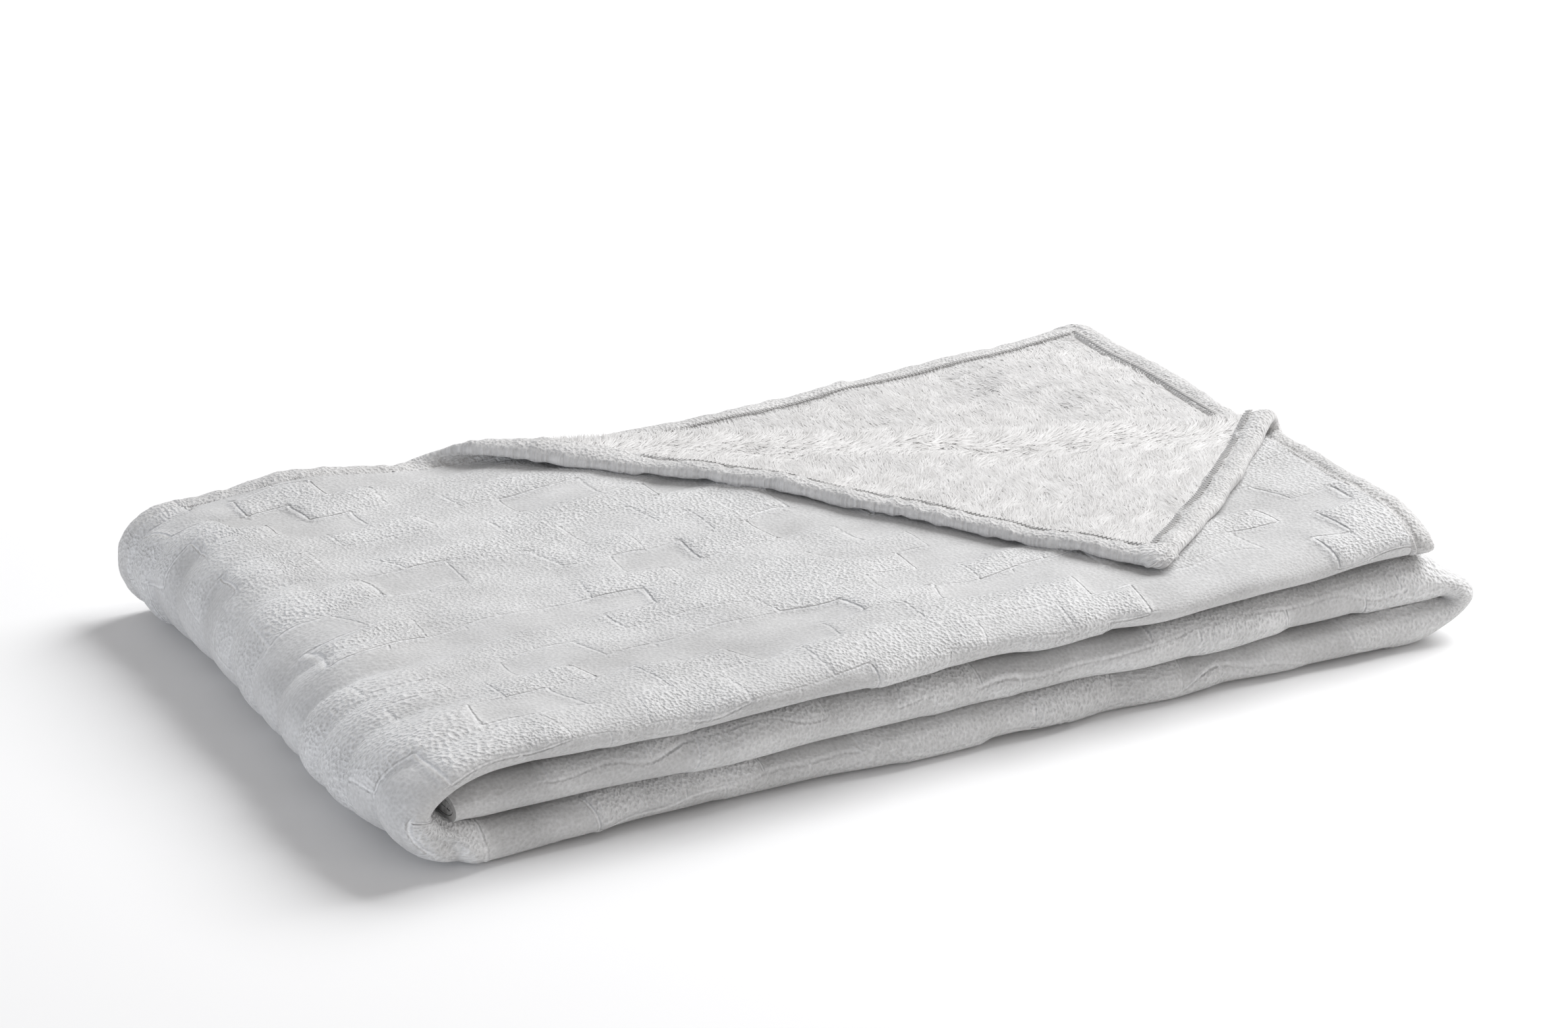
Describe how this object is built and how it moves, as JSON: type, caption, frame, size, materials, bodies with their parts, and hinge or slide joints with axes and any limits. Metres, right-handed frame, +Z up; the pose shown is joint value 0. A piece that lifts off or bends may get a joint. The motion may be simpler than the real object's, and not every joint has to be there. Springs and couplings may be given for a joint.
{
  "type": "folded throw blanket",
  "caption": "Double-sided plush throw folded into a flat bundle, embossed face outside, with one corner turned back to show its longer pile reverse.",
  "frame": {"origin": "on the floor, under the middle of the folded throw", "axes": "+X along the front folds, from the left wrap to the right fold; +Y from the front folds to the back hems; +Z up"},
  "size_m": [0.67, 0.4221, 0.0736],
  "materials": {
    "face_plush": "short light grey plush, embossed with soft brick-like rectangles",
    "reverse_pile": "long off-white pile",
    "hem_plush": "short grey plush, turned over and coverstitched",
    "thread": "grey polyester coverstitch"
  },
  "bodies": {
    "folded_base": {"bottom_strip_back_fold": "face_plush", "bottom_strip_inner_back_hem": "hem_plush", "bottom_strip_inner_face": "face_plush", "bottom_strip_inner_reverse": "reverse_pile", "bottom_strip_outer_back_hem": "hem_plush", "bottom_strip_outer_face": "face_plush", "bottom_strip_outer_reverse": "reverse_pile", "left_wrap_hem_1": "hem_plush", "left_wrap_hem_2": "hem_plush", "left_wrap_ply_1": "face_plush", "left_wrap_ply_2": "face_plush", "left_wrap_ply_3": "face_plush", "left_wrap_ply_4": "face_plush", "middle_strip_back_fold": "face_plush", "middle_strip_inner_back_hem": "hem_plush", "middle_strip_inner_face": "face_plush", "middle_strip_inner_reverse": "reverse_pile", "middle_strip_inner_side_hem": "hem_plush", "middle_strip_outer_back_hem": "hem_plush", "middle_strip_outer_face": "face_plush", "middle_strip_outer_reverse": "reverse_pile", "middle_strip_outer_side_hem": "hem_plush", "right_fold_hem_1": "hem_plush", "right_fold_hem_2": "hem_plush", "right_fold_ply_1": "face_plush", "right_fold_ply_2": "face_plush", "right_fold_ply_3": "face_plush", "right_fold_ply_4": "face_plush"},
    "top_strip": {"crease_bend_face": "face_plush", "crease_bend_reverse": "reverse_pile", "top_strip_back_fold": "face_plush", "top_strip_inner_back_hem": "hem_plush", "top_strip_inner_back_stitching": "thread", "top_strip_inner_face": "face_plush", "top_strip_inner_reverse": "reverse_pile", "top_strip_inner_side_hem": "hem_plush", "top_strip_inner_side_stitching": "thread", "top_strip_outer_back_hem": "hem_plush", "top_strip_outer_back_stitching": "thread", "top_strip_outer_face": "face_plush", "top_strip_outer_reverse": "reverse_pile", "top_strip_outer_side_hem": "hem_plush", "top_strip_outer_side_stitching": "thread"},
    "turned_corner": {"corner_flap_back_hem": "hem_plush", "corner_flap_back_stitching": "thread", "corner_flap_face": "face_plush", "corner_flap_reverse": "reverse_pile", "corner_flap_side_hem": "hem_plush", "corner_flap_side_stitching": "thread"}
  },
  "joints": [
    {"name": "top_strip_unfold", "type": "hinge", "parent": "folded_base", "child": "top_strip", "pos_m": [-0.30155, 0, 0.0368], "axis": [0, -1, 0], "range_deg": [0, 178], "deforming": ["left_wrap_hem_1", "left_wrap_hem_2", "left_wrap_ply_1", "left_wrap_ply_2", "left_wrap_ply_3", "left_wrap_ply_4"]},
    {"name": "corner_turn", "type": "hinge", "parent": "top_strip", "child": "turned_corner", "pos_m": [0.07522, 0.08596, 0.06705], "axis": [-0.8932, 0.4496, 0], "range_deg": [0, 165], "deforming": ["crease_bend_face", "crease_bend_reverse"]}
  ]
}
